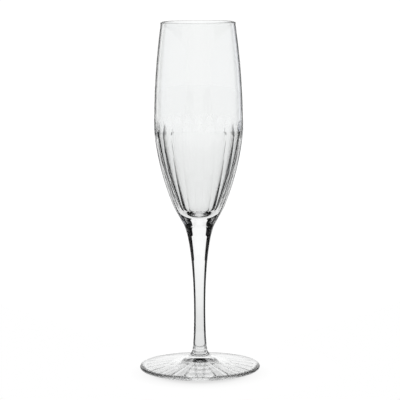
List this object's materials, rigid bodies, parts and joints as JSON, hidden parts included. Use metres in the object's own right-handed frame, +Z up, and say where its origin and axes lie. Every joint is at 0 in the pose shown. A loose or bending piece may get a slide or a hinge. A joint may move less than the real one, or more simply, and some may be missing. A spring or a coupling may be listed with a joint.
{
  "type": "champagne flute",
  "caption": "Tall stemmed champagne flute in clear cut glass: slim tapered bowl with vertical flutes around its lower half, drawn stem and round sloping foot",
  "frame": {"origin": "on the table, under the middle of the foot", "axes": "+Z up along the stem, which is the object's axis of symmetry and its longest side; X and Y are level, and one flute faces -Y"},
  "size_m": [0.078, 0.078, 0.225],
  "materials": {
    "foot_glass": "clear pressed crystal, fire-polished above, ground and polished rays below",
    "stem_glass": "clear drawn crystal, fire-polished",
    "bowl_glass": "clear blown crystal, flutes ground and acid-polished"
  },
  "bodies": {
    "root": {"foot": "foot_glass", "stem": "stem_glass", "bowl": "bowl_glass"}
  },
  "joints": []
}
